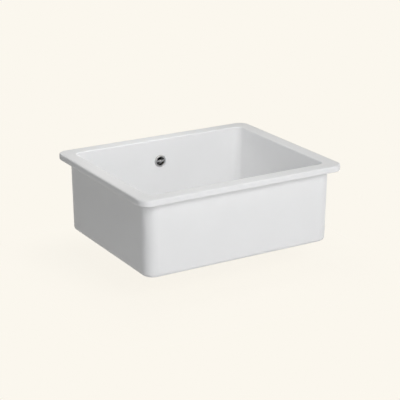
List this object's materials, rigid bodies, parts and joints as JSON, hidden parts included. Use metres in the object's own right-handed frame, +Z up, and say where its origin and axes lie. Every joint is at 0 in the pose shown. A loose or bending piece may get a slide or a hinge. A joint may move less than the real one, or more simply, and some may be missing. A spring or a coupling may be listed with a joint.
{
  "type": "kitchen sink with basket strainer waste",
  "caption": "Inset fireclay kitchen sink: one deep bowl under a flat overhanging rim, with a lift-out basket strainer waste and a piped overflow.",
  "frame": {"origin": "centre of the rim's underside, the plane on which the sink is seated", "axes": "+Z up, +X along the long side, +Y towards the back wall that holds the overflow"},
  "size_m": [0.56, 0.4762, 0.2778],
  "materials": {
    "fireclay": "white gloss glaze",
    "polished_steel": "polished stainless steel",
    "chrome": "bright chrome plating",
    "black_rubber": "matt moulded rubber",
    "black_plastic": "satin moulded polypropylene",
    "brass": "plain turned brass"
  },
  "bodies": {
    "sink": {"basin": "fireclay", "strainer_dish": "polished_steel", "dish_seal": "black_rubber", "waste_gasket": "black_rubber", "waste_body": "black_plastic", "hub_insert": "brass", "screw_washer": "polished_steel", "fixing_screw": "polished_steel", "overflow_rosette": "chrome", "overflow_screw": "chrome", "overflow_gasket": "black_rubber", "overflow_head": "black_plastic", "overflow_insert": "brass", "overflow_pipe": "black_plastic", "overflow_nut_upper": "black_plastic", "overflow_ring_upper": "black_rubber", "overflow_nut_lower": "black_plastic", "overflow_ring_lower": "black_rubber"},
    "basket": {"basket_cup": "polished_steel", "basket_stem": "polished_steel", "basket_grip": "black_rubber", "basket_knob": "polished_steel", "basket_plug": "black_rubber", "plug_retainer": "polished_steel", "stem_nut": "brass"}
  },
  "joints": [
    {"name": "basket_lift", "type": "slide", "parent": "sink", "child": "basket", "axis": [0, 0, 1], "range_m": [0, 0.26]}
  ]
}
